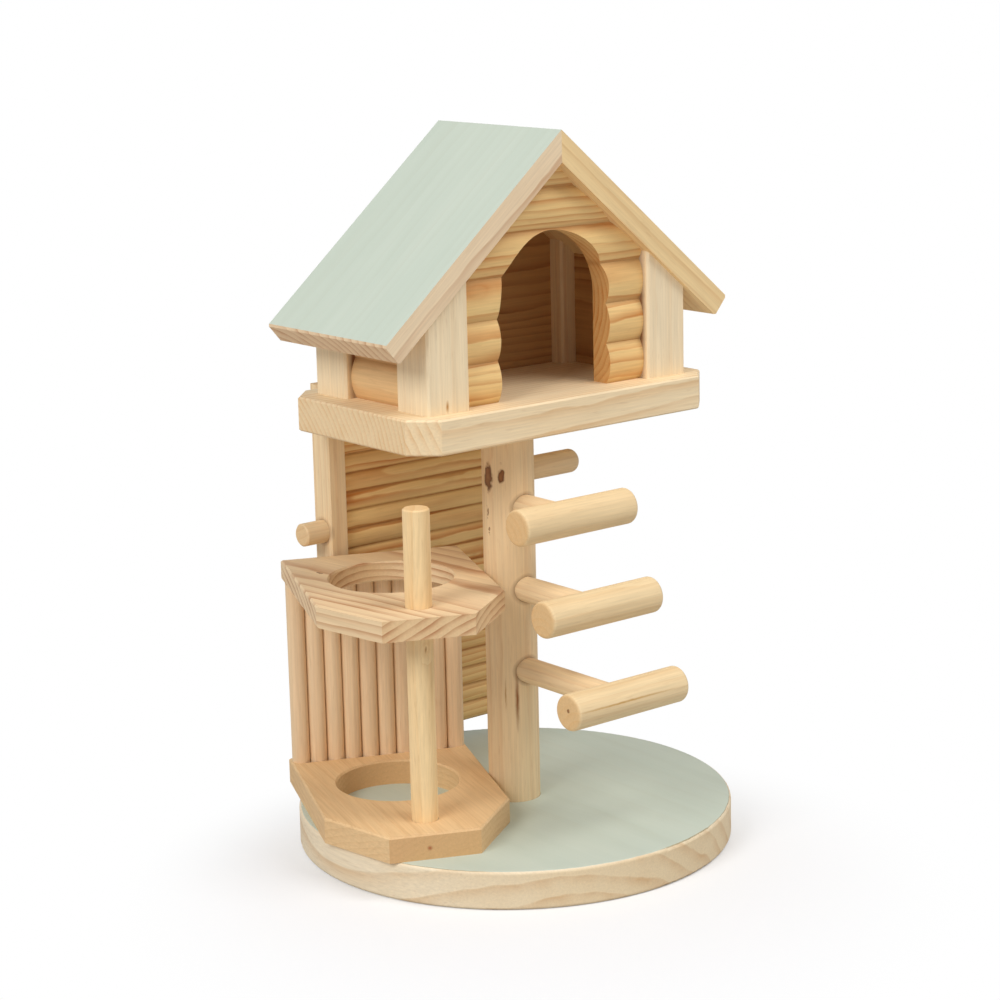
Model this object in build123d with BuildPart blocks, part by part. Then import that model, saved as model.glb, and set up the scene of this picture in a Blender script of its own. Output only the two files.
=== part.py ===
from build123d import *
from math import ceil, cos, radians, sin, tan
import os

# Small animal play house: a round base carries a post with a deck and a log cabin on top,
# a ring seat with a palisade on the left, rung steps on the right and a hanging log wall at the back.
# Millimetres, +Z up, +X to the right along the cabin's front, +Y to the back.
# The origin is the centre of the base's underside, on the axis of the main post.

# Fits
seat_gap = 0.1  # radial play of every peg and post in its hole, and of the sticks in their grooves
end_break = 0.5  # broken edge on turned ends

# Base
base_diameter = 155.0
base_thickness = 13.5
base_edge_round = 1.2

# Main post, through the middle of everything
post_diameter = 18.4
post_visible_height = 133.6
post_seat_depth = 5.0

# Ring seat: two boards with one outline, turned against the cabin
ring_turn = -24.4
ring_half_width = 32.8
ring_front_reach = 57.2  # from the hole's centre to the front edge
ring_front_half_width = 15.9
ring_shoulder_reach = 30.9
ring_back_reach = 36.4
ring_hole_diameter = 43.6
lower_ring_thickness = 9.0
upper_ring_thickness = 7.3
ring_edge_break = 0.6
ring_post_gap = 0.2
ring_wall_gap = 0.8  # from the rings' back edge to the back wall's left stile

# Palisade of sticks along the rings' back edge
stick_diameter = 6.2
stick_pitch = 6.45
stick_count = 10
stick_visible_length = 67.6
stick_seat_depth = 3.0
stick_row_reach = 32.2

# Dowel at the front of the rings
dowel_diameter = 9.2
dowel_reach = 42.1
dowel_seat_depth = 6.0
dowel_rise = 33.8

# Rung steps on pegs
rung_count = 3
rung_diameter = 12.7
rung_length = 50.0
rung_centre_x = 2.3
rung_end_round = 1.3
rung_peg_diameter = 9.0
rung_peg_post_depth = 7.0
rung_peg_rung_depth = 6.0
first_rung_rise = 48.4  # from the base's top to the lowest rung's axis
rung_rise = 29.5
first_rung_reach = 56.7  # from the post's axis to the lowest rung's axis
rung_setback = 12.5

# Perch peg high on the post, and stub peg on the back wall
perch_peg_diameter = 8.5
perch_peg_reach = 30.7
perch_peg_drop = 15.2  # from the deck's underside to the peg's axis
perch_peg_seat_depth = 7.0
perch_peg_nose_round = 2.8
stub_peg_diameter = 8.4
stub_peg_length = 9.4
stub_peg_rise = 8.1  # from the upper ring's top to the peg's axis
stub_peg_seat_depth = 4.5

# Deck
deck_width = 134.6
deck_depth = 79.2
deck_thickness = 12.2
deck_corner_cut = 8.7
deck_centre_x = 14.7
deck_front_reach = 19.7  # from the post's axis to the deck's front edge
deck_edge_break = 0.6

# Back wall: two stiles on the deck's back edge with a log panel between them
stile_width = 7.8
stile_depth = 10.0
stile_edge_break = 0.6
back_wall_inset = 18.0  # from the deck's left end to the wall's left end
back_wall_width = 95.0
back_wall_clearance = 7.2  # from the base's top to the wall's lower end
back_panel_thickness = 6.0
back_panel_setback = 1.5
back_log_pitch = 7.0
back_log_bulge = 1.5

# Cabin: four corner posts with log walls between them
cabin_side_setback = 8.85  # from the deck's ends to the corner posts' outer faces
cabin_front_setback = 6.9
cabin_back_setback = 7.5
side_height = 30.9  # cabin height at the outer faces of the corner posts
corner_post_size = 17.8
corner_post_edge_break = 0.8
wall_thickness = 9.0
wall_setback = 2.5
log_pitch = 14.3
log_bulge = 2.2

# Arched doorway in the front wall
arch_width = 49.4
arch_spring_height = 32.2

# Roof: two boards mitred at the ridge
roof_slope = 40.2
roof_thickness = 8.5
eave_overhang = 13.2  # from the corner posts' outer faces to the boards' lower edges
gable_overhang = 2.0
back_gable_overhang = 1.0
roof_edge_break = 0.7

# Levels worked out from the sizes above
base_radius = base_diameter / 2
post_radius = post_diameter / 2
base_top = base_thickness
lower_ring_top = base_top + lower_ring_thickness
upper_ring_underside = lower_ring_top + stick_visible_length
upper_ring_top = upper_ring_underside + upper_ring_thickness
deck_underside = base_top + post_visible_height
deck_top = deck_underside + deck_thickness

# Plan of the deck and the cabin
deck_front = -deck_front_reach
deck_back = deck_front + deck_depth
deck_left = deck_centre_x - deck_width / 2
cabin_half_width = deck_width / 2 - cabin_side_setback
cabin_width = 2 * cabin_half_width
cabin_left = deck_centre_x - cabin_half_width
cabin_right = deck_centre_x + cabin_half_width
cabin_front = deck_front + cabin_front_setback
cabin_back = deck_back - cabin_back_setback
cabin_depth = cabin_back - cabin_front
back_wall_left = deck_left + back_wall_inset

# Roof heights, all measured on the boards' undersides
roof_rise = tan(radians(roof_slope))
side_top = deck_top + side_height
ridge_underside = side_top + cabin_half_width * roof_rise
ridge_top = ridge_underside + roof_thickness / cos(radians(roof_slope))
roof_front = cabin_front - gable_overhang
roof_back = cabin_back + back_gable_overhang

# Frame of the ring seat: x to its right side, y to its back, origin on the hole's axis.
# Its right side lies against the post, its back edge just clears the corner of the left stile.
ring_right = Vector(cos(radians(ring_turn)), sin(radians(ring_turn)), 0)
ring_back = Vector(-sin(radians(ring_turn)), cos(radians(ring_turn)), 0)
post_to_ring = ring_half_width + ring_post_gap + post_radius
stile_corner = Vector(back_wall_left, deck_back - ring_wall_gap, 0)
post_to_back_edge = stile_corner.dot(ring_back)
ring_origin = ring_back * (post_to_back_edge - ring_back_reach) - ring_right * post_to_ring


def ring_plane(height):
    """The ring seat's own plane at a height above the table."""
    return Plane(origin=ring_origin + Vector(0, 0, height), x_dir=ring_right, z_dir=(0, 0, 1))


stick_places = [((i - (stick_count - 1) / 2) * stick_pitch, stick_row_reach) for i in range(stick_count)]
groove_width = stick_diameter + 2 * seat_gap
groove_length = (stick_count - 1) * stick_pitch + groove_width
dowel_place = (0, -dowel_reach)


def ring_outline():
    """Points of a ring board: straight back and sides, and two long chamfers to a short front."""
    return [
        (-ring_half_width, ring_back_reach),
        (-ring_half_width, -ring_shoulder_reach),
        (-ring_front_half_width, -ring_front_reach),
        (ring_front_half_width, -ring_front_reach),
        (ring_half_width, -ring_shoulder_reach),
        (ring_half_width, ring_back_reach),
    ]


def keep(piece, label):
    """Name a finished piece and write its file."""
    piece.label = label
    export_step(piece, f"parts/{label}.step")


def turned_piece(label, plane, diameter, length):
    """A round stick from the plane's origin along its normal, with both ends broken."""
    with BuildPart() as piece:
        with BuildSketch(plane):
            Circle(diameter / 2)
        extrude(amount=length)
        chamfer(piece.edges().filter_by(GeomType.CIRCLE), end_break)
    keep(piece.part, label)


os.makedirs("parts", exist_ok=True)

# Round base with the post's blind hole
with BuildPart() as base_plate:
    with BuildSketch():
        Circle(base_radius)
    extrude(amount=base_thickness)
    fillet(base_plate.edges().filter_by(GeomType.CIRCLE), base_edge_round)
    with BuildSketch(Plane.XY.offset(base_top)):
        Circle(post_radius + seat_gap)
    extrude(amount=-post_seat_depth, mode=Mode.SUBTRACT)
keep(base_plate.part, "base_plate")

# Main post: holes for the three rung pegs and the perch peg, ends seated in base and deck
post_length = post_visible_height + 2 * post_seat_depth
rung_levels = [base_top + first_rung_rise + i * rung_rise for i in range(rung_count)]
rung_reaches = [first_rung_reach - i * rung_setback for i in range(rung_count)]
perch_peg_level = deck_underside - perch_peg_drop
with BuildPart() as main_post:
    with BuildSketch(Plane.XY.offset(base_top - post_seat_depth)):
        Circle(post_radius)
    extrude(amount=post_length)
    chamfer(main_post.edges().filter_by(GeomType.CIRCLE), end_break)
    with BuildSketch(Plane.XZ.offset(post_radius - rung_peg_post_depth)):
        with Locations(*[(0, level) for level in rung_levels]):
            Circle(rung_peg_diameter / 2 + seat_gap)
    extrude(amount=post_radius, mode=Mode.SUBTRACT)
    with BuildSketch(Plane.YZ.offset(post_radius - perch_peg_seat_depth)):
        with Locations((0, perch_peg_level)):
            Circle(perch_peg_diameter / 2 + seat_gap)
    extrude(amount=post_radius, mode=Mode.SUBTRACT)
keep(main_post.part, "main_post")

# Lower ring: lies on the base, a stopped groove for the sticks and a blind hole for the dowel
with BuildPart() as lower_ring:
    with BuildSketch(ring_plane(base_top)):
        Polygon(*ring_outline(), align=None)
        Circle(ring_hole_diameter / 2, mode=Mode.SUBTRACT)
    extrude(amount=lower_ring_thickness)
    chamfer(lower_ring.faces().sort_by(Axis.Z)[-1].edges(), ring_edge_break)
    with BuildSketch(ring_plane(lower_ring_top)):
        with Locations((0, stick_row_reach)):
            SlotOverall(groove_length, groove_width)
    extrude(amount=-stick_seat_depth, mode=Mode.SUBTRACT)
    with BuildSketch(ring_plane(lower_ring_top)):
        with Locations(dowel_place):
            Circle(dowel_diameter / 2 + seat_gap)
    extrude(amount=-dowel_seat_depth, mode=Mode.SUBTRACT)
keep(lower_ring.part, "lower_ring")

# Upper ring: the sticks end in a stopped groove in its underside, the dowel runs through
with BuildPart() as upper_ring:
    with BuildSketch(ring_plane(upper_ring_underside)):
        Polygon(*ring_outline(), align=None)
        Circle(ring_hole_diameter / 2, mode=Mode.SUBTRACT)
        with Locations(dowel_place):
            Circle(dowel_diameter / 2 + seat_gap, mode=Mode.SUBTRACT)
    extrude(amount=upper_ring_thickness)
    rim_edges = upper_ring.faces().sort_by(Axis.Z)[-1].edges() + upper_ring.faces().sort_by(Axis.Z)[0].edges()
    chamfer(rim_edges.filter_by(lambda edge: edge.length > dowel_diameter * 3.5), ring_edge_break)
    with BuildSketch(ring_plane(upper_ring_underside)):
        with Locations((0, stick_row_reach)):
            SlotOverall(groove_length, groove_width)
    extrude(amount=stick_seat_depth, mode=Mode.SUBTRACT)
keep(upper_ring.part, "upper_ring")

# Palisade sticks
stick_length = stick_visible_length + 2 * stick_seat_depth
for number, (across, back) in enumerate(stick_places, start=1):
    foot = ring_origin + ring_right * across + ring_back * back
    stick_plane = Plane(origin=foot + Vector(0, 0, lower_ring_top - stick_seat_depth))
    turned_piece(f"palisade_stick_{number:02d}", stick_plane, stick_diameter, stick_length)

# Dowel at the front of the rings
dowel_foot = ring_origin - ring_back * dowel_reach
dowel_plane = Plane(origin=dowel_foot + Vector(0, 0, lower_ring_top - dowel_seat_depth))
dowel_length = upper_ring_top + dowel_rise - lower_ring_top + dowel_seat_depth
turned_piece("front_dowel", dowel_plane, dowel_diameter, dowel_length)

# Rungs with a blind hole at the back, each on a peg from the post
for number, (level, reach) in enumerate(zip(rung_levels, rung_reaches), start=1):
    with BuildPart() as rung:
        with BuildSketch(Plane.YZ.offset(rung_centre_x - rung_length / 2)):
            with Locations((-reach, level)):
                Circle(rung_diameter / 2)
        extrude(amount=rung_length)
        fillet(rung.edges().filter_by(GeomType.CIRCLE), rung_end_round)
        with BuildSketch(Plane.XZ.offset(reach - rung_diameter / 2)):
            with Locations((0, level)):
                Circle(rung_peg_diameter / 2 + seat_gap)
        extrude(amount=rung_peg_rung_depth, mode=Mode.SUBTRACT)
    keep(rung.part, f"rung_{number}")
    peg_start = post_radius - rung_peg_post_depth
    peg_end = reach - rung_diameter / 2 + rung_peg_rung_depth
    peg_plane = Plane(origin=(0, -peg_start, level), x_dir=(1, 0, 0), z_dir=(0, -1, 0))
    turned_piece(f"rung_peg_{number}", peg_plane, rung_peg_diameter, peg_end - peg_start)

# Perch peg with a rounded nose
with BuildPart() as perch_peg:
    with BuildSketch(Plane.YZ.offset(post_radius - perch_peg_seat_depth)):
        with Locations((0, perch_peg_level)):
            Circle(perch_peg_diameter / 2)
    extrude(amount=perch_peg_reach - post_radius + perch_peg_seat_depth)
    fillet(perch_peg.faces().sort_by(Axis.X)[-1].edges(), perch_peg_nose_round)
keep(perch_peg.part, "perch_peg")

# Deck with cut corners and the post's blind hole underneath
with BuildPart() as deck_board:
    with BuildSketch(Plane.XY.offset(deck_underside)) as deck_outline:
        with Locations((deck_centre_x, deck_front + deck_depth / 2)):
            Rectangle(deck_width, deck_depth)
        chamfer(deck_outline.vertices(), deck_corner_cut)
    extrude(amount=deck_thickness)
    chamfer(deck_board.faces().sort_by(Axis.Z)[-1].edges(), deck_edge_break)
    chamfer(deck_board.faces().sort_by(Axis.Z)[0].edges(), deck_edge_break)
    with BuildSketch(Plane.XY.offset(deck_underside)):
        Circle(post_radius + seat_gap)
    extrude(amount=post_seat_depth, mode=Mode.SUBTRACT)
keep(deck_board.part, "deck_board")

# Back wall: stiles on the deck's back face, left one with the stub peg's hole
back_wall_bottom = base_top + back_wall_clearance
back_wall_height = deck_top - back_wall_bottom
stile_middle_y = deck_back + stile_depth / 2
stub_peg_level = upper_ring_top + stub_peg_rise
stiles = {
    "left_back_stile": back_wall_left + stile_width / 2,
    "right_back_stile": back_wall_left + back_wall_width - stile_width / 2,
}
for name, stile_x in stiles.items():
    with BuildPart() as stile:
        with BuildSketch(Plane.XY.offset(back_wall_bottom)):
            with Locations((stile_x, stile_middle_y)):
                Rectangle(stile_width, stile_depth)
        extrude(amount=back_wall_height)
        chamfer(stile.edges().filter_by(Axis.Z), stile_edge_break)
        if name == "left_back_stile":
            with BuildSketch(Plane.YZ.offset(back_wall_left)):
                with Locations((stile_middle_y, stub_peg_level)):
                    Circle(stub_peg_diameter / 2 + seat_gap)
            extrude(amount=stub_peg_seat_depth, mode=Mode.SUBTRACT)
    keep(stile.part, name)

# Stub peg, from the left stile out to the left
stub_peg_start = (back_wall_left + stub_peg_seat_depth, stile_middle_y, stub_peg_level)
stub_peg_plane = Plane(origin=stub_peg_start, x_dir=(0, 1, 0), z_dir=(-1, 0, 0))
turned_piece("stub_peg", stub_peg_plane, stub_peg_diameter, stub_peg_length + stub_peg_seat_depth)


def log_profile(plane, count, pitch, bulge, thickness):
    """Side view of a log wall: flat at the back, one bulging arc to each log at the front."""
    with BuildSketch(plane) as profile:
        with BuildLine():
            for i in range(count):
                foot = (thickness - bulge, i * pitch)
                belly = (thickness, (i + 0.5) * pitch)
                head = (thickness - bulge, (i + 1) * pitch)
                ThreePointArc(foot, belly, head)
            Polyline((thickness - bulge, count * pitch), (0, count * pitch), (0, 0), (thickness - bulge, 0))
        make_face()
    return profile.sketch


# Log panel between the stiles, its top log cut off level with the deck
panel_width = back_wall_width - 2 * stile_width
panel_right = back_wall_left + back_wall_width - stile_width
panel_back = deck_back + back_panel_setback + back_panel_thickness
back_logs = ceil(back_wall_height / back_log_pitch)
with BuildPart() as back_panel:
    panel_corner = (panel_right, panel_back, back_wall_bottom)
    panel_plane = Plane(origin=panel_corner, x_dir=(0, -1, 0), z_dir=(-1, 0, 0))
    panel_profile = log_profile(panel_plane, back_logs, back_log_pitch, back_log_bulge, back_panel_thickness)
    extrude(panel_profile, amount=panel_width)
    split(bisect_by=Plane.XY.offset(deck_top), keep=Keep.BOTTOM)
keep(back_panel.part, "back_log_panel")

# The cabin's outline under the roof, which trims the posts and the walls
with BuildSketch(Plane.XZ.offset(-cabin_back)) as cabin_outline:
    Polygon(
        (cabin_left, deck_top),
        (cabin_right, deck_top),
        (cabin_right, side_top),
        (deck_centre_x, ridge_underside),
        (cabin_left, side_top),
        align=None,
    )

# Corner posts
post_offset_x = cabin_half_width - corner_post_size / 2
corner_posts = {
    "front_left_corner_post": (deck_centre_x - post_offset_x, cabin_front + corner_post_size / 2),
    "front_right_corner_post": (deck_centre_x + post_offset_x, cabin_front + corner_post_size / 2),
    "back_left_corner_post": (deck_centre_x - post_offset_x, cabin_back - corner_post_size / 2),
    "back_right_corner_post": (deck_centre_x + post_offset_x, cabin_back - corner_post_size / 2),
}
for name, place in corner_posts.items():
    with BuildPart() as corner_post:
        with BuildSketch(Plane.XY.offset(deck_top)):
            with Locations(place):
                Rectangle(corner_post_size, corner_post_size)
        extrude(amount=side_height + corner_post_size * roof_rise)
        chamfer(corner_post.edges().filter_by(Axis.Z), corner_post_edge_break)
        extrude(cabin_outline.sketch, amount=cabin_depth, mode=Mode.INTERSECT)
    keep(corner_post.part, name)

# Log walls: each starts at the corner given and runs along to the next post
wall_inset = wall_setback + wall_thickness
front_inner, back_inner = cabin_front + wall_inset, cabin_back - wall_inset
left_inner, right_inner = cabin_left + wall_inset, cabin_right - wall_inset
gable_logs = ceil((ridge_underside - deck_top) / log_pitch)
gable_length = cabin_width - 2 * corner_post_size
side_length = cabin_depth - 2 * corner_post_size
walls = {
    "cabin_front_wall": ((cabin_right - corner_post_size, front_inner), (0, -1, 0), gable_length),
    "cabin_back_wall": ((cabin_left + corner_post_size, back_inner), (0, 1, 0), gable_length),
    "cabin_left_wall": ((left_inner, cabin_front + corner_post_size), (-1, 0, 0), side_length),
    "cabin_right_wall": ((right_inner, cabin_back - corner_post_size), (1, 0, 0), side_length),
}
for name, (corner, outward, length) in walls.items():
    along = Vector(*outward).cross(Vector(0, 0, 1))
    wall_plane = Plane(origin=(*corner, deck_top), x_dir=outward, z_dir=along)
    with BuildPart() as wall:
        extrude(log_profile(wall_plane, gable_logs, log_pitch, log_bulge, wall_thickness), amount=length)
        extrude(cabin_outline.sketch, amount=cabin_depth, mode=Mode.INTERSECT)
        if name == "cabin_front_wall":
            with BuildSketch(Plane.XZ.offset(-front_inner)):
                with Locations((deck_centre_x, deck_top + arch_spring_height)):
                    Circle(arch_width / 2)
                    with Locations((0, -arch_spring_height / 2)):
                        Rectangle(arch_width, arch_spring_height)
            extrude(amount=wall_inset, mode=Mode.SUBTRACT)
    keep(wall.part, name)

# Roof boards
eave_half_width = cabin_half_width + eave_overhang
board_drop = roof_thickness * cos(radians(roof_slope))
board_throw = roof_thickness * sin(radians(roof_slope))
eave_underside = ridge_underside - eave_half_width * roof_rise
for side, name in ((-1, "left_roof_board"), (1, "right_roof_board")):
    with BuildPart() as roof_board:
        with BuildSketch(Plane.XZ.offset(-roof_back)):
            Polygon(
                (deck_centre_x, ridge_underside),
                (deck_centre_x, ridge_top),
                (deck_centre_x + side * (eave_half_width + board_throw), eave_underside + board_drop),
                (deck_centre_x + side * eave_half_width, eave_underside),
                align=None,
            )
        extrude(amount=roof_back - roof_front)
        eave_edges = roof_board.edges().filter_by(Axis.Y).sort_by(Axis.Z)[:2]
        chamfer(eave_edges, roof_edge_break)
    keep(roof_board.part, name)
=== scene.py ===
"""Looks of the small animal play house: bare pine and beech, sage paint on the base's top and the roof."""

import math
from types import SimpleNamespace

import bpy
from mathutils import Matrix, Vector


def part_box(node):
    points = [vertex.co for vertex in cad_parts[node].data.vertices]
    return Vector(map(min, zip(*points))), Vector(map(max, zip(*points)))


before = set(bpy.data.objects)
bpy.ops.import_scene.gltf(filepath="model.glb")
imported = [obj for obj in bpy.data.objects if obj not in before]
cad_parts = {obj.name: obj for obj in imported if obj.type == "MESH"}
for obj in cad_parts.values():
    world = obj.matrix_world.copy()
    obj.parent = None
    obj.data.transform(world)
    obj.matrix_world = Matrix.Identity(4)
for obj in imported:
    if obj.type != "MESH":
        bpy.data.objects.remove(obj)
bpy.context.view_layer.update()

MM = 0.001
X, Y, Z = (1, 0, 0), (0, 1, 0), (0, 0, 1)

# The camera stands in front and to the left, a little higher than the roof
CAMERA_PLACE = Vector((-0.550824, -0.676632, 0.321998))
CAMERA_RIGHT = Vector((0.77424, -0.6325, -0.02231))
CAMERA_UP = Vector((0.15818, 0.15926, 0.97448))
CAMERA_LENS = 91.90  # mm
SENSOR_WIDTH = 36.0  # mm
NEAR_CLIP = 0.01

# Woods. Pine has wide growth rings, pale early wood and an orange late wood line that ends sharply.
# Beech is more even and pinkish. early and late are the tones of the rings, end is that of sawn ends and of
# clouds in the wood; ring is the rings' width and wander how far they stray, in mm; late_share is how strong
# the late wood is.
WOODS = {
    "pine": dict(early="#fde9c4", late="#dca563", end="#edd2a8", ring=2.4, wander=2.0, late_share=0.62),
    "clear_pine": dict(early="#fbe8c6", late="#e4ba82", end="#f1d6a8", ring=2.8, wander=1.4, late_share=0.22),
    "pale_pine": dict(early="#f9eacf", late="#d8b182", end="#efdab4", ring=7.5, wander=4.5, late_share=0.8),
    "gold_pine": dict(early="#f8dfb6", late="#d4a068", end="#e8c696", ring=2.9, wander=2.4, late_share=0.4),
    "red_pine": dict(early="#f7deb6", late="#ac6636", end="#e8c594", ring=2.7, wander=2.0, late_share=0.9),
    "rose_pine": dict(early="#f8e3c2", late="#bb8152", end="#e8c9a2", ring=3.9, wander=3.4, late_share=0.85),
    "honey_pine": dict(early="#fad998", late="#c97a32", end="#dda868", ring=2.3, wander=3.0, late_share=1.0),
    # A darker pine for the walls mostly seen from inside the cabin: painted shade for its dark inside
    "inside_shade_pine": dict(early="#d0a066", late="#9a5a2a", end="#b4824a", ring=2.4, wander=3.0, late_share=1.0),
    "rung_pine": dict(early="#f6deb2", late="#dbac70", end="#e0bb88", ring=2.8, wander=1.4, late_share=0.4),
    "dowel_pine": dict(early="#ffe3b0", late="#e0ae6c", end="#ecc998", ring=5.0, wander=4.0, late_share=0.6),
    "roof_pine": dict(early="#fbdfaa", late="#d49c5c", end="#e8c490", ring=2.9, wander=2.4, late_share=0.55),
    "tan_pine": dict(early="#f5d09a", late="#d2965a", end="#dfb079", ring=3.4, wander=3.0, late_share=0.45),
    "beech": dict(early="#eecb9a", late="#d3a672", end="#d8ac79", ring=2.2, wander=1.6, late_share=0.4),
    "beech_rod": dict(early="#f5d8b1", late="#dfb387", end="#e6c198", ring=2.0, wander=1.2, late_share=0.45),
}
FLECK = "#b5814c"
# Painted shade in the gap round each peg's root
PEG_ROOT_SHADE = "#7d5230"
# Painted shade in the grooves of the log walls
GROOVE_SHADE = "#a4682f"
PAINT = "#cfd9cd"
PAINT_DEEP = "#c0cdc0"
PAINT_ON_LATE_WOOD = "#a9a184"
CHIP_DIRT = "#8d8462"

# One growth ring from year to year, and a knot from its core to its bark; each begins with the two ends
RING_STOPS = [(0.0, 0.1), (1.0, 0.12), (0.45, 0.22), (0.8, 0.75), (0.9, 1.0), (0.96, 0.8)]
KNOT_STOPS = [(0.0, "#a06c3f"), (1.0, "#a8764a"), (0.5, "#8f5d35"), (0.8, "#6a4325")]

# Texture scales, per metre
RING_SCALE = 0.31416  # the wave texture's scale for one ring per metre
WANDER_SCALE = 42.0
YEAR_SCALE = 120.0
CLOUD_SCALE = 30.0
FLECK_SCALE = 1300.0
PORE_SCALE = 1300.0
FRAY_SCALE = 420.0
WEAR_SCALE = 260.0
BRUSH_SCALE = 90.0
FIBRE_WIDTH = 0.8 * MM  # real fibres are far finer, but would not show at this size

# How far patterns are drawn out along the grain
TRUNK_STRETCH = (1, 1, 0.16)
FIBRE_STRETCH = (1, 1, 0.035)
FLECK_STRETCH = (1, 1, 0.12)

KNOT_SHAPE = Vector((1, 1, 0.4))  # longer along the grain
KNOT_RIM = (1.2, 0.75)  # where its dark begins and is full, in its radii
KNOT_REACH = 2.2  # how far it pushes the rings aside, in its radii
FAR_OFF = 9.0  # more radii than any knot reaches
KNOT_FRAY = Vector((2.0, 2.0, 6.0)) * MM  # how far an edge strays, across and along the grain
CRACK_AND_SHADE_FRAY = Vector((0.5, 0.5, 0.0)) * MM
CRACK_AND_SHADE_CORE = 0.15  # part of the width of a crack, and of a painted shade line, that has its full colour
RIM_WIDTH = 1.5  # mm, of the painted shade round a peg's root
GROOVE_SHARE = 0.13  # part of a log's height that the painted groove shade covers, on each side
PAINT_END = 0.8  # cosine of the turn from the painted direction where the paint ends
PAINT_WEAR = 0.16  # how much sooner it ends where it is worn
PAINT_GHOST = 0.1  # how much of the late wood shows through the paint
PAINT_SMOOTHING = -0.12  # roughness that the paint takes away
LATE_RELIEF = 0.5  # how proud the late wood stands, against the fibres
BUMP_HEIGHT = 0.12 * MM


def linear(shade):
    """A colour written as sRGB hex, as the linear values that a shader takes."""
    parts = [int(shade[i:i + 2], 16) / 255 for i in (1, 3, 5)]
    return [p / 12.92 if p <= 0.04045 else ((p + 0.055) / 1.055) ** 2.4 for p in parts] + [1.0]


def empty_tree(owner):
    """The cleared node tree of a material or world."""
    owner.use_nodes = True
    owner.node_tree.nodes.clear()
    return owner.node_tree


def add(tree, kind, inputs=None, stops=None, **settings):
    """Adds a node with its settings. Inputs are values or the sockets that feed them; stops are a ramp's.
    Inputs without a name go by number: a colour mix has its colours in 6 and 7 and gives output 2."""
    made = tree.nodes.new(kind)
    for name, value in settings.items():
        setattr(made, name, value)
    for key, value in (inputs or {}).items():
        if isinstance(value, bpy.types.NodeSocket):
            tree.links.new(value, made.inputs[key])
        else:
            made.inputs[key].default_value = value
    for number, (place, shade) in enumerate(stops or []):
        points = made.color_ramp.elements
        point = points[number] if number < 2 else points.new(place)
        point.position = place
        point.color = [shade] * 3 + [1.0] if isinstance(shade, float) else linear(shade)
    return made


def frayed(tree, log, stray):
    """Places in the log, moved to and fro by fine noise, so that a mark's edge is ragged."""
    noise = add(tree, "ShaderNodeTexNoise", {"Vector": log.place, "Scale": FRAY_SCALE, "Detail": 2.0})
    return add(tree, "ShaderNodeVectorMath", {
        0: noise.outputs["Color"], 1: stray, 2: log.place}, operation="MULTIPLY_ADD").outputs[0]


def knot_fields(tree, log, knots):
    """How far the knots push the rings aside, how dark they are, and how many radii off the nearest is."""
    push = 0.0
    dark = 0.0
    nearest = FAR_OFF
    ragged = frayed(tree, log, KNOT_FRAY)
    for point, radius, darkness, swirl in knots:
        spot = log.find(point) + KNOT_FRAY / 2
        gap = add(tree, "ShaderNodeVectorMath", {0: ragged, 1: spot}, operation="SUBTRACT")
        gap = add(tree, "ShaderNodeVectorMath", {
            0: gap.outputs[0], 1: KNOT_SHAPE / (radius * MM)}, operation="MULTIPLY")
        gap = add(tree, "ShaderNodeVectorMath", {0: gap.outputs[0]}, operation="LENGTH").outputs["Value"]
        near = add(tree, "ShaderNodeMapRange", {
            "Value": gap, "From Min": KNOT_REACH, "From Max": 0.0,
            "To Min": 0.0, "To Max": swirl}, interpolation_type="SMOOTHSTEP")
        core = add(tree, "ShaderNodeMapRange", {
            "Value": gap, "From Min": KNOT_RIM[0], "From Max": KNOT_RIM[1],
            "To Min": 0.0, "To Max": darkness})
        push = add(tree, "ShaderNodeMath", {0: near.outputs[0], 1: push}).outputs[0]
        dark = add(tree, "ShaderNodeMath", {0: core.outputs[0], 1: dark}, operation="MAXIMUM").outputs[0]
        nearest = add(tree, "ShaderNodeMath", {0: gap, 1: nearest}, operation="MINIMUM").outputs[0]
    return push, dark, nearest


def late_wood(tree, look, log, push):
    """How much late wood there is: rings that wander, strong in some years and faint in others."""
    wander = add(tree, "ShaderNodeTexNoise", {
        "Vector": log.trunk, "Scale": WANDER_SCALE, "Detail": 3.0, "Roughness": 0.5})
    reach = look["wander"] * MM * 2
    bent = add(tree, "ShaderNodeVectorMath", {
        0: wander.outputs["Color"], 1: (reach, reach, 0), 2: log.place}, operation="MULTIPLY_ADD")
    rings = add(tree, "ShaderNodeTexWave", {
        "Vector": bent.outputs[0], "Scale": RING_SCALE / (look["ring"] * MM), "Distortion": 0.9,
        "Detail": 2.0, "Detail Scale": 0.6, "Detail Roughness": 0.5, "Phase Offset": push},
        wave_type="RINGS", rings_direction="Z", wave_profile="SAW")
    line = add(tree, "ShaderNodeValToRGB", {0: rings.outputs["Fac"]}, stops=RING_STOPS)
    years = add(tree, "ShaderNodeTexNoise", {
        "Vector": log.trunk, "Scale": YEAR_SCALE, "Detail": 1.0, "Roughness": 0.5})
    years = add(tree, "ShaderNodeMapRange", {
        "Value": years.outputs["Fac"], "From Min": 0.3, "From Max": 0.7, "To Min": 0.35, "To Max": 1.0})
    late = add(tree, "ShaderNodeMath", {0: line.outputs[0], 1: years.outputs[0]}, operation="MULTIPLY")
    return add(tree, "ShaderNodeMath", {
        0: late.outputs[0], 1: look["late_share"]}, operation="MULTIPLY").outputs[0]


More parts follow.
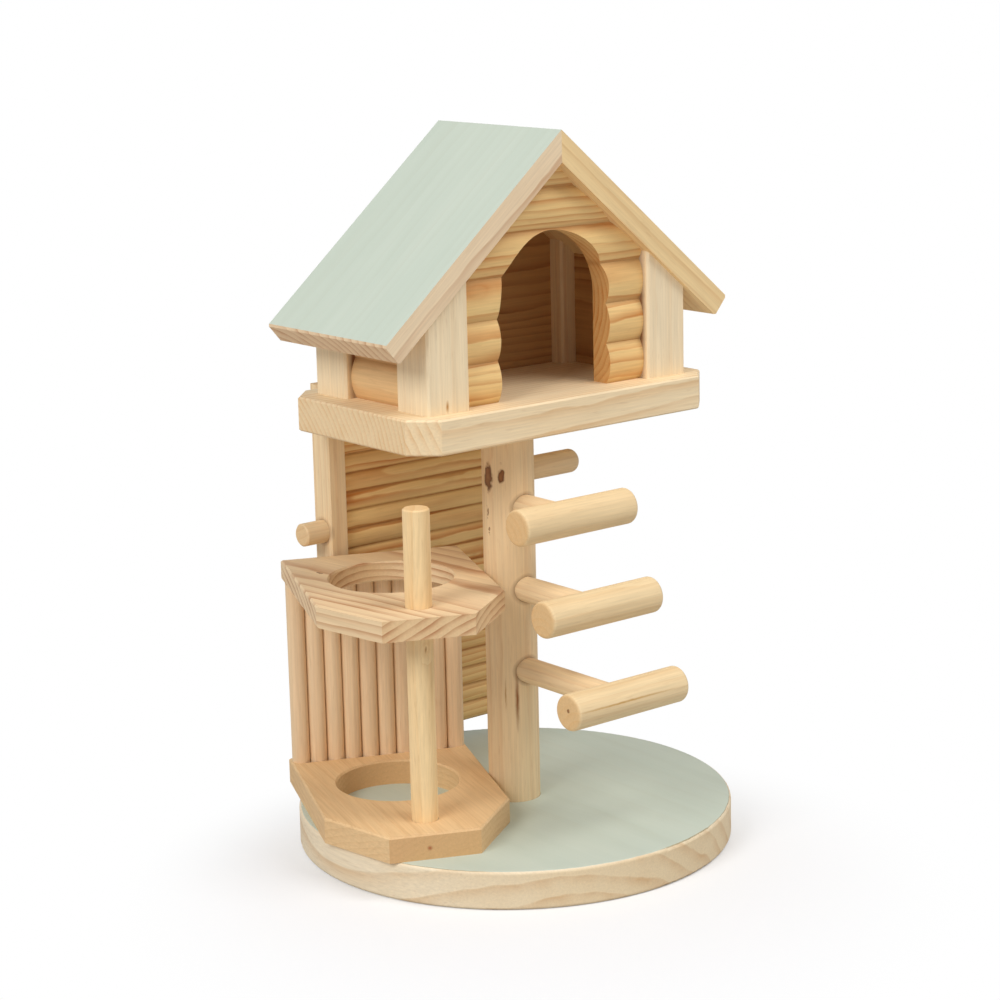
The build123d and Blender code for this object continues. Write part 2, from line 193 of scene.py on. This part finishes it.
def planed_colour(tree, look, log):
    """Planed faces: early and late wood, clouds of a deeper tone, fibres and short flecks along the grain."""
    colour = add(tree, "ShaderNodeMix", {
        0: log.late, 6: linear(look["early"]), 7: linear(look["late"])}, data_type="RGBA")
    tint = add(tree, "ShaderNodeMapRange", {
        "Value": log.cloud, "From Min": 0.3, "From Max": 0.7, "To Min": 0.0, "To Max": 0.3})
    colour = add(tree, "ShaderNodeMix", {
        0: tint.outputs[0], 6: colour.outputs[2], 7: linear(look["end"])}, data_type="RGBA")
    thread = add(tree, "ShaderNodeMapRange", {
        "Value": log.fibre, "From Min": 0.25, "From Max": 0.75, "To Min": 0.9, "To Max": 1.06})
    colour = add(tree, "ShaderNodeVectorMath", {
        0: colour.outputs[2], "Scale": thread.outputs[0]}, operation="SCALE")
    fleck = add(tree, "ShaderNodeMapping", {"Vector": log.place, "Scale": FLECK_STRETCH})
    fleck = add(tree, "ShaderNodeTexNoise", {
        "Vector": fleck.outputs[0], "Scale": FLECK_SCALE, "Detail": 1.0, "Roughness": 0.5})
    fleck = add(tree, "ShaderNodeMapRange", {
        "Value": fleck.outputs["Fac"], "From Min": 0.62, "From Max": 0.74, "To Min": 0.0, "To Max": 0.12})
    return add(tree, "ShaderNodeMix", {
        0: fleck.outputs[0], 6: colour.outputs[0], 7: linear(FLECK)}, data_type="RGBA").outputs[2]


def with_sawn_ends(tree, look, log, colour):
    """Sawn ends drink more light than planed faces and show their pores."""
    facing = add(tree, "ShaderNodeVectorMath", {0: log.normal, 1: log.grain}, operation="DOT_PRODUCT")
    facing = add(tree, "ShaderNodeMath", {0: facing.outputs["Value"]}, operation="ABSOLUTE")
    end = add(tree, "ShaderNodeMapRange", {
        "Value": facing.outputs[0], "From Min": 0.5, "From Max": 0.9, "To Min": 0.0, "To Max": 0.8})
    pores = add(tree, "ShaderNodeTexNoise", {
        "Vector": log.place, "Scale": PORE_SCALE, "Detail": 2.0, "Roughness": 0.7})
    pores = add(tree, "ShaderNodeMapRange", {
        "Value": pores.outputs["Fac"], "From Min": 0.3, "From Max": 0.7, "To Min": 0.93, "To Max": 1.05})
    sawn = add(tree, "ShaderNodeMix", {
        0: log.late, 6: linear(look["end"]), 7: linear(look["late"])}, data_type="RGBA")
    sawn = add(tree, "ShaderNodeVectorMath", {
        0: sawn.outputs[2], "Scale": pores.outputs[0]}, operation="SCALE")
    return add(tree, "ShaderNodeMix", {
        0: end.outputs[0], 6: colour, 7: sawn.outputs[0]}, data_type="RGBA").outputs[2]


def with_knots(tree, colour, dark, nearest):
    """A knot is brown inside and ringed by dark bark."""
    knot = add(tree, "ShaderNodeValToRGB", {0: nearest}, stops=KNOT_STOPS)
    return add(tree, "ShaderNodeMix", {0: dark, 6: colour, 7: knot.outputs[0]}, data_type="RGBA").outputs[2]


def with_cracks_and_joint_shade(tree, log, colour, cracks_and_joint_shade):
    """Cracks, and painted shade in the joints beside the log walls' ends, are thin lines along the grain."""
    ragged = frayed(tree, log, CRACK_AND_SHADE_FRAY)
    for point, length, width, shade in cracks_and_joint_shade:
        spot = log.find(point) + CRACK_AND_SHADE_FRAY / 2
        gap = add(tree, "ShaderNodeVectorMath", {0: ragged, 1: spot}, operation="SUBTRACT")
        gap = add(tree, "ShaderNodeVectorMath", {
            0: gap.outputs[0], 1: (1.0, 1.0, 2 * width / length)}, operation="MULTIPLY")
        gap = add(tree, "ShaderNodeVectorMath", {0: gap.outputs[0]}, operation="LENGTH")
        line_strength = add(tree, "ShaderNodeMapRange", {
            "Value": gap.outputs["Value"], "From Min": width * MM, "From Max": width * CRACK_AND_SHADE_CORE * MM})
        colour = add(tree, "ShaderNodeMix", {
            0: line_strength.outputs[0], 6: colour, 7: linear(shade)}, data_type="RGBA").outputs[2]
    return colour


def with_peg_root_shade(tree, log, colour, drills):
    """Painted shade round a peg's root, uneven, on the face where the peg comes out of its drilled hole."""
    for point, direction, radius in drills:
        outward = Vector(direction)
        away = add(tree, "ShaderNodeVectorMath", {0: log.point, 1: Vector(point) * MM}, operation="SUBTRACT")
        side = add(tree, "ShaderNodeVectorMath", {0: away.outputs[0], 1: outward}, operation="DOT_PRODUCT")
        side = add(tree, "ShaderNodeMath", {0: side.outputs["Value"], 1: 0.0}, operation="GREATER_THAN")
        away = add(tree, "ShaderNodeVectorMath", {0: away.outputs[0], 1: outward}, operation="CROSS_PRODUCT")
        away = add(tree, "ShaderNodeVectorMath", {0: away.outputs[0]}, operation="LENGTH")
        root_shade = add(tree, "ShaderNodeMapRange", {
            "Value": away.outputs["Value"], "From Min": (radius + RIM_WIDTH) * MM, "From Max": radius * MM})
        root_shade = add(tree, "ShaderNodeMath", {0: root_shade.outputs[0], 1: side.outputs[0]}, operation="MULTIPLY")
        root_shade = add(tree, "ShaderNodeMath", {0: root_shade.outputs[0], 1: log.cloud}, operation="MULTIPLY")
        colour = add(tree, "ShaderNodeMix", {
            0: root_shade.outputs[0], 6: colour, 7: linear(PEG_ROOT_SHADE)}, data_type="RGBA").outputs[2]
    return colour


def with_log_grooves(tree, log, colour, lowest, pitch, darkness):
    """Painted shade in the grooves between the logs of a log wall, which are drawn darker."""
    level = add(tree, "ShaderNodeSeparateXYZ", {0: log.point})
    level = add(tree, "ShaderNodeMath", {0: level.outputs["Z"], 1: lowest * MM}, operation="SUBTRACT")
    level = add(tree, "ShaderNodeMath", {0: level.outputs[0], 1: pitch * MM / 2}, operation="PINGPONG")
    groove = add(tree, "ShaderNodeMapRange", {
        "Value": level.outputs[0], "From Min": pitch * GROOVE_SHARE * MM, "From Max": 0.0,
        "To Min": 0.0, "To Max": darkness}, interpolation_type="SMOOTHSTEP")
    bulging = add(tree, "ShaderNodeSeparateXYZ", {0: log.normal})
    bulging = add(tree, "ShaderNodeMath", {0: bulging.outputs["Z"]}, operation="ABSOLUTE")
    bulging = add(tree, "ShaderNodeMapRange", {
        "Value": bulging.outputs[0], "From Min": 0.05, "From Max": 0.4})
    groove = add(tree, "ShaderNodeMath", {
        0: groove.outputs[0], 1: bulging.outputs[0]}, operation="MULTIPLY")
    return add(tree, "ShaderNodeMix", {
        0: groove.outputs[0], 6: colour, 7: linear(GROOVE_SHADE)}, data_type="RGBA").outputs[2]


def with_paint(tree, log, colour, direction):
    """Thin matt paint on the face that looks in a direction: the grain and brush strokes show through it, and
    its edges are a little worn. Gives the colour, and where the paint lies."""
    toward = Vector(direction).normalized()
    up = add(tree, "ShaderNodeVectorMath", {0: log.normal, 1: toward}, operation="DOT_PRODUCT")
    worn = add(tree, "ShaderNodeTexNoise", {
        "Vector": log.point, "Scale": WEAR_SCALE, "Detail": 3.0, "Roughness": 0.6})
    edge = add(tree, "ShaderNodeMath", {
        0: worn.outputs["Fac"], 1: PAINT_WEAR, 2: PAINT_END}, operation="MULTIPLY_ADD")
    past = add(tree, "ShaderNodeMath", {0: up.outputs["Value"], 1: edge.outputs[0]}, operation="SUBTRACT")
    film = add(tree, "ShaderNodeMapRange", {"Value": past.outputs[0], "From Min": 0.0, "From Max": 0.06})
    brush = add(tree, "ShaderNodeTexNoise", {
        "Vector": log.trunk, "Scale": BRUSH_SCALE, "Detail": 4.0, "Roughness": 0.6})
    coat = add(tree, "ShaderNodeMix", {
        0: brush.outputs["Fac"], 6: linear(PAINT), 7: linear(PAINT_DEEP)}, data_type="RGBA")
    ghost = add(tree, "ShaderNodeMath", {0: log.late, 1: PAINT_GHOST}, operation="MULTIPLY")
    coat = add(tree, "ShaderNodeMix", {
        0: ghost.outputs[0], 6: coat.outputs[2], 7: linear(PAINT_ON_LATE_WOOD)}, data_type="RGBA")
    colour = add(tree, "ShaderNodeMix", {
        0: film.outputs[0], 6: colour, 7: coat.outputs[2]}, data_type="RGBA")

    # In places the paint's own edge has chipped and caught dirt
    brink = add(tree, "ShaderNodeMath", {0: past.outputs[0]}, operation="ABSOLUTE")
    brink = add(tree, "ShaderNodeMapRange", {
        "Value": brink.outputs[0], "From Min": 0.07, "From Max": 0.02})
    chips = add(tree, "ShaderNodeMapRange", {
        "Value": log.cloud, "From Min": 0.5, "From Max": 0.6, "To Min": 0.0, "To Max": 0.8})
    brink = add(tree, "ShaderNodeMath", {0: brink.outputs[0], 1: chips.outputs[0]}, operation="MULTIPLY")
    colour = add(tree, "ShaderNodeMix", {
        0: brink.outputs[0], 6: colour.outputs[2], 7: linear(CHIP_DIRT)}, data_type="RGBA")
    return colour.outputs[2], film.outputs[0]


def wood(name, kind, grain, heart, paint=None, knots=(), cracks_and_joint_shade=(), drills=(), logs=None):
    """Solid wood cut from a log: rings about a heart line along the grain, so faces and ends agree.
    Places and sizes are in mm. heart is a point on the heart line, paint the direction of a painted face.
    knots are (point, radius, darkness, swirl), cracks and joint shade (point, length, width, shade), drills
    the peg holes' (point, direction, radius), round which shade is painted, and logs a log wall's
    (lowest groove, pitch, darkness of the painted groove shade)."""
    look = WOODS[kind]
    material = bpy.data.materials.new(name)
    tree = empty_tree(material)
    grain = Vector(grain).normalized()
    turn = grain.rotation_difference(Vector(Z))
    shift = turn @ (Vector(heart) * -MM)
    texture = add(tree, "ShaderNodeTexCoord")
    place = add(tree, "ShaderNodeMapping", {
        "Vector": texture.outputs["Object"], "Location": shift, "Rotation": turn.to_euler()}).outputs[0]
    trunk = add(tree, "ShaderNodeMapping", {"Vector": place, "Scale": TRUNK_STRETCH}).outputs[0]
    log = SimpleNamespace(
        point=texture.outputs["Object"], normal=texture.outputs["Normal"], grain=grain, place=place,
        trunk=trunk, find=lambda point: turn @ (Vector(point) * MM) + shift)

    push, dark, nearest = knot_fields(tree, log, knots) if knots else (0.0, 0.0, FAR_OFF)
    log.late = late_wood(tree, look, log, push)
    threads = add(tree, "ShaderNodeMapping", {"Vector": place, "Scale": FIBRE_STRETCH})
    fibre = add(tree, "ShaderNodeTexNoise", {
        "Vector": threads.outputs[0], "Scale": 1 / FIBRE_WIDTH, "Detail": 2.0, "Roughness": 0.6})
    cloud = add(tree, "ShaderNodeTexNoise", {
        "Vector": trunk, "Scale": CLOUD_SCALE, "Detail": 2.0, "Roughness": 0.5})
    log.fibre = fibre.outputs["Fac"]
    log.cloud = cloud.outputs["Fac"]

    colour = with_sawn_ends(tree, look, log, planed_colour(tree, look, log))
    if knots:
        colour = with_knots(tree, colour, dark, nearest)
    if cracks_and_joint_shade:
        colour = with_cracks_and_joint_shade(tree, log, colour, cracks_and_joint_shade)
    colour = with_peg_root_shade(tree, log, colour, drills)
    if logs:
        colour = with_log_grooves(tree, log, colour, *logs)
    smoothing = 0.0
    if paint:
        colour, film = with_paint(tree, log, colour, paint)
        smoothing = add(tree, "ShaderNodeMath", {
            0: film, 1: PAINT_SMOOTHING}, operation="MULTIPLY").outputs[0]

    rough = add(tree, "ShaderNodeMapRange", {
        "Value": log.fibre, "From Min": 0.2, "From Max": 0.8, "To Min": 0.68, "To Max": 0.52})
    rough = add(tree, "ShaderNodeMath", {0: rough.outputs[0], 1: smoothing})
    # Late wood stands a little proud after sanding; fibres give the fine tooth
    relief = add(tree, "ShaderNodeMath", {
        0: log.late, 1: LATE_RELIEF, 2: log.fibre}, operation="MULTIPLY_ADD")
    bump = add(tree, "ShaderNodeBump", {
        "Height": relief.outputs[0], "Strength": 0.35, "Distance": BUMP_HEIGHT})
    surface = add(tree, "ShaderNodeBsdfPrincipled", {
        "Base Color": colour, "Roughness": rough.outputs[0], "Normal": bump.outputs[0],
        "IOR": 1.5, "Specular IOR Level": 0.35})
    add(tree, "ShaderNodeOutputMaterial", {"Surface": surface.outputs[0]})
    return material


def centre(node):
    """Middle of a CAD node's box, in mm."""
    low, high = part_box(node)
    return (low + high) / (2 * MM)


def foot(node):
    """Lowest height of a CAD node, in mm."""
    low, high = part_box(node)
    return low.z / MM


SLOPE = math.radians(40.2)  # of the roof boards

# Each piece's wood: kind, grain direction, and where its log's heart lies from the piece's middle, in mm
CUTS = {
    "base_plate": ("pale_pine", Y, (-30, 0, -75)),
    "main_post": ("gold_pine", Z, (16, 22, 0)),
    "lower_ring": ("beech", (-0.3, -0.95, 0), (15, 0, -60)),
    "upper_ring": ("red_pine", (0.144, -0.989, 0), (9, 1, -62)),
    "front_dowel": ("dowel_pine", (0.07, 0.05, 1), (-9, 12, 0)),
    "perch_peg": ("gold_pine", X, (0, 12, 9)),
    "stub_peg": ("gold_pine", X, (0, 9, 12)),
    "deck_board": ("pine", X, (0, 66, -36)),
    "left_back_stile": ("gold_pine", Z, (25, 40, 0)),
    "right_back_stile": ("gold_pine", Z, (-20, 42, 0)),
    "back_log_panel": ("honey_pine", X, (0, 45, 12)),
    "front_left_corner_post": ("clear_pine", Z, (30, 38, 0)),
    "front_right_corner_post": ("clear_pine", Z, (-22, 45, 0)),
    "back_left_corner_post": ("clear_pine", Z, (35, -25, 0)),
    "back_right_corner_post": ("gold_pine", Z, (-35, -28, 0)),
    "cabin_front_wall": ("honey_pine", X, (0, 34, -14)),
    # The back and right walls take the darker pine as painted shade inside the cabin
    "cabin_back_wall": ("inside_shade_pine", X, (0, -38, 10)),
    "cabin_left_wall": ("tan_pine", Y, (46, 0, -22)),
    "cabin_right_wall": ("inside_shade_pine", Y, (-33, 0, -9)),
    "left_roof_board": ("rose_pine", (-math.cos(SLOPE), 0, -math.sin(SLOPE)), (16, 43, -19)),
    "right_roof_board": ("roof_pine", (math.cos(SLOPE), 0, -math.sin(SLOPE)), (-18, 25, -40)),
}
for number in range(1, 11):
    CUTS[f"palisade_stick_{number:02d}"] = ("beech_rod", Z, (6 + 2 * (number % 4), 9 - 3 * (number % 5), 0))
for number in (1, 2, 3):
    CUTS[f"rung_{number}"] = ("rung_pine", X, (0, 7 * number - 12, -13 + 2 * number))
    CUTS[f"rung_peg_{number}"] = ("gold_pine", Y, (8 - 5 * number, 0, 10))

PAINTED = {
    "base_plate": Z,
    "left_roof_board": (-math.sin(SLOPE), 0, math.cos(SLOPE)),
    "right_roof_board": (math.sin(SLOPE), 0, math.cos(SLOPE)),
}

# Marks in the wood, and painted shade in joints, in mm, on the face where each one shows
DOWEL_MARK = (-55.6, -22.9, 83.4)
# Colour of the painted shade in the joints beside the log walls
JOINT_SHADE = "#845833"
KNOTS = {
    "main_post": [
        ((-9.2, -0.3, 131.7), 2.0, 0.95, 2.0),
        ((-7.5, -5.4, 132.6), 1.3, 1.0, 2.0),
        ((-9.2, 0.1, 119.2), 0.6, 0.8, 0.0),
        ((-9.2, -0.2, 112.8), 0.5, 0.8, 0.0),
    ],
    "front_dowel": [(DOWEL_MARK, 1.4, 0.0, 9.0)],
    "upper_ring": [((-52.7, 41.3, 97.4), 0.7, 0.8, 0.0)],
    "cabin_front_wall": [((-6.5, -10.3, 160.8), 0.5, 0.8, 0.0)],
    "rung_1": [((-22.7, -56.9, 62.8), 0.8, 0.9, 0.0)],
}
CRACKS_AND_JOINT_SHADE = {
    "main_post": [
        ((-4.5, -8.0, 51.5), 26.0, 0.9, "#9a653c"),
        ((-7.5, -5.3, 53.5), 14.0, 0.4, "#c49a68"),
    ],
    "rung_1": [((-2.6, -63.0, 63.0), 52.0, 0.45, "#c99c5a")],
    "lower_ring": [((-62.7, -31.3, 17.5), 4.0, 1.1, "#b06a42")],
    "front_left_corner_post": [((-35.8, -12.8, 161.9), 5.0, 0.8, "#c08e52")],
    "front_dowel": [(DOWEL_MARK, 3.4, 0.5, "#b07a42")],
    # Painted shade in the joints beside the log walls' ends, as dark lines on the posts
    "front_right_corner_post": [((55.35, -9.0, 180.0), 80.0, 2.8, JOINT_SHADE)],
    "back_left_corner_post": [((-40.0, 34.2, 172.0), 60.0, 2.6, JOINT_SHADE)],
}

# Peg holes: a point on the peg's axis inside the board, the way out, and the peg's radius
DRILLS = {
    "main_post": [
        *(((0, 0, centre(f"rung_peg_{number}").z), (0, -1, 0), 4.5) for number in (1, 2, 3)),
        ((0, 0, centre("perch_peg").z), X, 4.25),
    ],
    "left_back_stile": [((-33.0, centre("stub_peg").y, centre("stub_peg").z), (-1, 0, 0), 4.2)],
}

# Log walls: the lowest groove's height, the logs' pitch, and how dark the painted shade in the grooves is
LOGS = {"back_log_panel": (foot("back_log_panel"), 7.0, 0.6)}
for side in ("front", "back", "left", "right"):
    LOGS[f"cabin_{side}_wall"] = (foot(f"cabin_{side}_wall"), 14.3, 0.4)

STICK_SWELL = 0.13 * MM
for node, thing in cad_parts.items():
    kind, grain, offset = CUTS[node]
    material = wood(f"{kind}_{node}", kind, grain, centre(node) + Vector(offset), PAINTED.get(node),
                    KNOTS.get(node, ()), CRACKS_AND_JOINT_SHADE.get(node, ()), DRILLS.get(node, ()), LOGS.get(node))
    thing.data.materials.clear()
    thing.data.materials.append(material)
    if node.startswith("palisade_stick"):
        # The sticks stand side by side, so no light shows between them
        swell = thing.modifiers.new("swell", "DISPLACE")
        swell.direction = "CUSTOM_NORMAL"
        swell.mid_level = 0.0
        swell.strength = STICK_SWELL

# Studio floor: grey paper to the light, pale to the camera, going over into the white background
FLOOR_REACH = 3.0
FADE_CENTRE = (-0.03, -0.05, 0.0)
FADE_START = 0.06
FADE_END = 0.15
corners = [(-FLOOR_REACH, -FLOOR_REACH, 0), (FLOOR_REACH, -FLOOR_REACH, 0),
           (FLOOR_REACH, FLOOR_REACH, 0), (-FLOOR_REACH, FLOOR_REACH, 0)]
floor_mesh = bpy.data.meshes.new("studio_floor")
floor_mesh.from_pydata(corners, [], [(0, 1, 2, 3)])
floor = bpy.data.objects.new("studio_floor", floor_mesh)
bpy.context.scene.collection.objects.link(floor)
pale_floor = bpy.data.materials.new("pale_floor")
tree = empty_tree(pale_floor)
texture = add(tree, "ShaderNodeTexCoord")
reach = add(tree, "ShaderNodeVectorMath", {
    0: texture.outputs["Object"], 1: FADE_CENTRE}, operation="DISTANCE")
fade = add(tree, "ShaderNodeMapRange", {
    "Value": reach.outputs["Value"], "From Min": FADE_START, "From Max": FADE_END,
    "To Min": 0.1}, interpolation_type="SMOOTHSTEP")
sight = add(tree, "ShaderNodeLightPath")
seen = add(tree, "ShaderNodeMath", {
    0: sight.outputs["Is Camera Ray"], 1: fade.outputs[0]}, operation="MULTIPLY")
paper = add(tree, "ShaderNodeMix", {
    0: sight.outputs["Is Camera Ray"], 6: linear("#c5c4c2"), 7: linear("#f6f8fc")}, data_type="RGBA")
matt = add(tree, "ShaderNodeBsdfDiffuse", {"Color": paper.outputs[2]})
glow = add(tree, "ShaderNodeEmission", {"Color": linear("#ffffff"), "Strength": 1.0})
both = add(tree, "ShaderNodeMixShader", {0: seen.outputs[0], 1: matt.outputs[0], 2: glow.outputs[0]})
add(tree, "ShaderNodeOutputMaterial", {"Surface": both.outputs[0]})
floor_mesh.materials.append(pale_floor)

# White surroundings, dimmer as light than they look to the camera
SKY_LIGHT = 0.45
world = bpy.data.worlds.new("studio")
bpy.context.scene.world = world
tree = empty_tree(world)
sight = add(tree, "ShaderNodeLightPath")
level = add(tree, "ShaderNodeMapRange", {
    "Value": sight.outputs["Is Camera Ray"], "From Min": 0.0, "From Max": 1.0,
    "To Min": SKY_LIGHT, "To Max": 1.0})
sky = add(tree, "ShaderNodeBackground", {"Color": linear("#ffffff"), "Strength": level.outputs[0]})
add(tree, "ShaderNodeOutputWorld", {"Surface": sky.outputs[0]})


def softbox(name, place, aim, size, power):
    """A square studio lamp that looks at a point."""
    lamp = bpy.data.lights.new(name, "AREA")
    lamp.shape = "SQUARE"
    lamp.size = size
    lamp.energy = power
    lamp.color = linear("#fffcf8")[:3]
    holder = bpy.data.objects.new(name, lamp)
    holder.location = place
    holder.rotation_euler = (Vector(aim) - Vector(place)).to_track_quat("-Z", "Y").to_euler()
    bpy.context.scene.collection.objects.link(holder)


# Soft light from the left, and from above in front
softbox("key_softbox", place=(-1.5, -0.35, 1.2), aim=(0, 0, 0.15), size=0.8, power=16.0)
softbox("top_softbox", place=(0.4, -0.9, 1.7), aim=(0, 0, 0.12), size=0.9, power=15.0)

camera_data = bpy.data.cameras.new("camera")
camera_data.lens = CAMERA_LENS
camera_data.sensor_width = SENSOR_WIDTH
camera_data.sensor_fit = "HORIZONTAL"
camera_data.clip_start = NEAR_CLIP
camera = bpy.data.objects.new("camera", camera_data)
camera_back = CAMERA_RIGHT.cross(CAMERA_UP)
camera.matrix_world = Matrix.Translation(CAMERA_PLACE) @ Matrix(
    (CAMERA_RIGHT, CAMERA_UP, camera_back)).transposed().to_4x4()
bpy.context.scene.collection.objects.link(camera)
bpy.context.scene.camera = camera
bpy.context.scene.view_settings.view_transform = "Standard"
